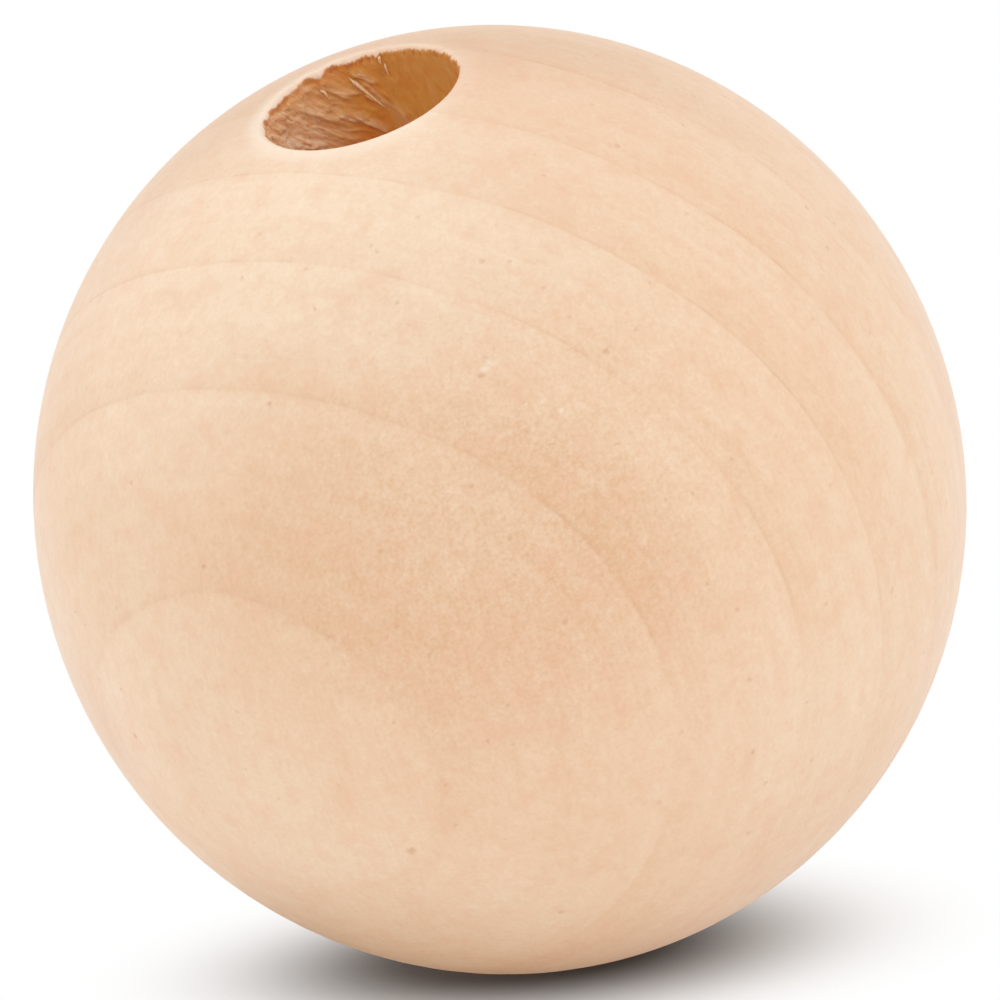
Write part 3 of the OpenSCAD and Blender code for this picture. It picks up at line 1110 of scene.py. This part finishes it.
def floor_paper(stage):
    """White paper sweep: matt paper with a painted shadow close under the ball, pure white beyond, clear from
    below.
    """
    material, tree, where = empty_material("floor_paper")
    flat = add(tree, "ShaderNodeVectorMath", where, FLAT_TO_MM, operation="MULTIPLY").outputs[0]
    oval = add(
        tree, "ShaderNodeMapping", vector_type="TEXTURE",
        named={
            "Vector": flat,
            "Location": SHADE_CENTRE_MM,
            "Rotation": (0, 0, math.radians(SHADE_TURN_DEG)),
            "Scale": SHADE_REACH_MM,
        },
    ).outputs[0]
    reach = add(tree, "ShaderNodeVectorMath", oval, operation="LENGTH").outputs["Value"]
    off = add(tree, "ShaderNodeVectorMath", flat, UNDER_CENTRE_MM, operation="DISTANCE").outputs["Value"]
    plain, away, far = (
        add(tree, "ShaderNodeMapRange", level, *fades, 0.0, 1.0, interpolation_type="SMOOTHSTEP").outputs[0]
        for level, fades in ((reach, SHADE_FADE), (off, UNDER_FADE_MM), (off, FAR_TINGE_MM))
    )
    near = add(
        tree, "ShaderNodeMapRange", off, *NEAR_TINGE_MM, 1.0, 0.0, interpolation_type="SMOOTHSTEP"
    ).outputs[0]

    # What each kind of ray sees: the camera the painted shadow, reflections their own painted shade, bounced
    # light plain paper
    path = add(tree, "ShaderNodeLightPath")
    camera, glossy = path.outputs["Is Camera Ray"], path.outputs["Is Glossy Ray"]
    mirrored = add(
        tree, "ShaderNodeMath", glossy, path.outputs["Is Transmission Ray"], operation="MAXIMUM"
    ).outputs[0]
    mirrored = add(tree, "ShaderNodeMath", mirrored, away, operation="MULTIPLY").outputs[0]
    share = add(tree, "ShaderNodeMath", camera, plain, mirrored, operation="MULTIPLY_ADD").outputs[0]
    clear = add(tree, "ShaderNodeMix", named={0: glossy, 2: plain, 3: away}).outputs[0]
    clear = add(tree, "ShaderNodeMath", clear, path.outputs["Is Diffuse Ray"], operation="MAXIMUM").outputs[0]
    tint = add(
        tree, "ShaderNodeMix", data_type="RGBA", named={0: clear, 6: stage.shade, 7: stage.floor}
    ).outputs[2]
    paper = add(tree, "ShaderNodeBsdfDiffuse", named={"Color": tint}).outputs[0]
    # Painted tinge in reflections only: warm near the ball and far off
    tinge = add(tree, "ShaderNodeMath", near, far, operation="MAXIMUM").outputs[0]
    tinge = add(tree, "ShaderNodeMath", tinge, glossy, operation="MULTIPLY").outputs[0]
    white = add(
        tree, "ShaderNodeMix", data_type="RGBA", named={0: tinge, 6: WHITE, 7: stage.painted_bounce}
    ).outputs[2]
    white = add(tree, "ShaderNodeEmission", named={"Color": white, "Strength": 1.0}).outputs[0]
    mixed = add(tree, "ShaderNodeMixShader", share, paper, white).outputs[0]
    below = add(tree, "ShaderNodeNewGeometry").outputs["Backfacing"]
    below = add(tree, "ShaderNodeMath", below, camera, operation="MULTIPLY").outputs[0]
    through = add(tree, "ShaderNodeBsdfTransparent").outputs[0]
    mixed = add(tree, "ShaderNodeMixShader", below, mixed, through).outputs[0]
    add(tree, "ShaderNodeOutputMaterial", mixed)
    return material


# The tent is open towards this side, and its light falls from the first nearness to the second
TENT_OPENING = (0.15, 0.99, 0.0)
OPENING_NEARNESS = (0.82, 0.99)
OPENING_STRENGTH = 0.35
# Soft boxes: place and size in metres, and what each adds where a surface faces it, the tent's own being 1
SOFT_BOXES = {
    "left_box": ((-0.30, 0.34, 0.21), 0.30, 0.03),
    "right_box": ((0.46, -0.10, 0.16), 0.40, 0.07),
    "top_box": ((-0.09, 0.30, 0.40), 0.30, 0.06),
}
# Width of the picture, and the ball's radius in it
IMAGE_PIXELS = 1000
BALL_PIXELS = 465.7


def tent_light(scene, stage):
    """White light from all round, weaker at the opening behind, plain white where the camera sees it."""
    world = bpy.data.worlds.new("light_tent")
    world.use_nodes = True
    tree = world.node_tree
    tree.nodes.clear()
    way = add(tree, "ShaderNodeTexCoord").outputs["Generated"]
    near = add(tree, "ShaderNodeVectorMath", way, TENT_OPENING, operation="DOT_PRODUCT").outputs["Value"]
    light = add(
        tree, "ShaderNodeMapRange", near, *OPENING_NEARNESS, stage.sky_strength, OPENING_STRENGTH,
        interpolation_type="SMOOTHSTEP",
    ).outputs[0]
    path = add(tree, "ShaderNodeLightPath")
    strength = add(
        tree, "ShaderNodeMapRange", path.outputs["Is Camera Ray"], 0.0, 1.0, light, 1.0
    ).outputs[0]
    sky = add(tree, "ShaderNodeBackground", named={"Color": WHITE, "Strength": strength}).outputs[0]
    add(tree, "ShaderNodeOutputWorld", sky)
    scene.world = world


def soft_box(scene, name, place, size, share):
    """Square lamp aimed at the ball, its energy from its share and the square of its distance."""
    lamp = bpy.data.lights.new(name, "AREA")
    lamp.size = size
    lamp.energy = share * (math.pi * Vector(place).length) ** 2
    box = bpy.data.objects.new(name, lamp)
    box.location = place
    box.rotation_euler = Vector(place).to_track_quat("Z", "Y").to_euler()
    box.visible_camera = False
    scene.collection.objects.link(box)


def photo_camera(scene, stage, radius):
    """Camera aimed at the ball's centre, rolled, with the lens that gives the ball its width."""
    high, roll = stage.camera_height, stage.camera_roll
    back = Vector((0.0, -math.cos(high), math.sin(high)))
    side = Vector((1.0, 0.0, 0.0))
    up = back.cross(side)
    right_axis = math.cos(roll) * side - math.sin(roll) * up
    up_axis = math.sin(roll) * side + math.cos(roll) * up
    lens = bpy.data.cameras.new("camera")
    reach = math.sqrt(stage.camera_distance ** 2 - radius ** 2)
    lens.lens = lens.sensor_width * BALL_PIXELS / IMAGE_PIXELS * reach / radius
    camera = bpy.data.objects.new("camera", lens)
    axes = Matrix((right_axis, up_axis, back)).transposed().to_4x4()
    camera.matrix_world = Matrix.Translation(back * stage.camera_distance) @ axes
    scene.collection.objects.link(camera)
    scene.camera = camera


class DOWELCAP_OT_stage(bpy.types.Operator):
    """Lay the floor, light it softly and set the camera"""

    bl_idname = "dowelcap.stage"
    bl_label = "Stage"

    def execute(self, context):
        scene = context.scene
        stage = scene.dowelcap_stage
        floor = bpy.data.objects.new("floor", floor_mesh(-scene.dowelcap_shape.crown_height))
        scene.collection.objects.link(floor)
        floor.data.materials.append(floor_paper(stage))
        tent_light(scene, stage)
        for name, (place, size, share) in SOFT_BOXES.items():
            soft_box(scene, name, place, size, share)
        photo_camera(scene, stage, scene.dowelcap_shape.ball_radius)
        scene.view_settings.view_transform = "Standard"
        return {"FINISHED"}


class DOWELCAP_PT_panel(bpy.types.Panel):
    """Lists the cap's sizes and colours, and the steps that build it"""

    bl_idname = "DOWELCAP_PT_panel"
    bl_label = "Dowel Cap"
    bl_space_type = "VIEW_3D"
    bl_region_type = "UI"
    bl_category = "Dowel Cap"

    def draw(self, context):
        for name in GROUPS:
            group = getattr(context.scene, name)
            box = self.layout.box()
            for key in group.__annotations__:
                box.prop(group, key)
        for step in STEPS:
            self.layout.operator(step.bl_idname)


GROUPS = {"dowelcap_shape": CapShape, "dowelcap_look": CapLook, "dowelcap_stage": StageLook}
STEPS = (DOWELCAP_OT_ball, DOWELCAP_OT_fibres, DOWELCAP_OT_stage)


def register():
    """Registers the classes and hangs the settings on the scene."""
    for cls in (*GROUPS.values(), *STEPS, DOWELCAP_PT_panel):
        bpy.utils.register_class(cls)
    for key, cls in GROUPS.items():
        setattr(bpy.types.Scene, key, bpy.props.PointerProperty(type=cls))


def unregister():
    """Takes the settings off the scene and unregisters the classes."""
    for key in GROUPS:
        delattr(bpy.types.Scene, key)
    for cls in reversed((*GROUPS.values(), *STEPS, DOWELCAP_PT_panel)):
        bpy.utils.unregister_class(cls)


def main():
    """Builds the cap and its stage."""
    register()
    bpy.ops.dowelcap.ball()
    bpy.ops.dowelcap.fibres()
    bpy.ops.dowelcap.stage()
    bpy.context.view_layer.update()


if __name__ == "__main__":
    main()
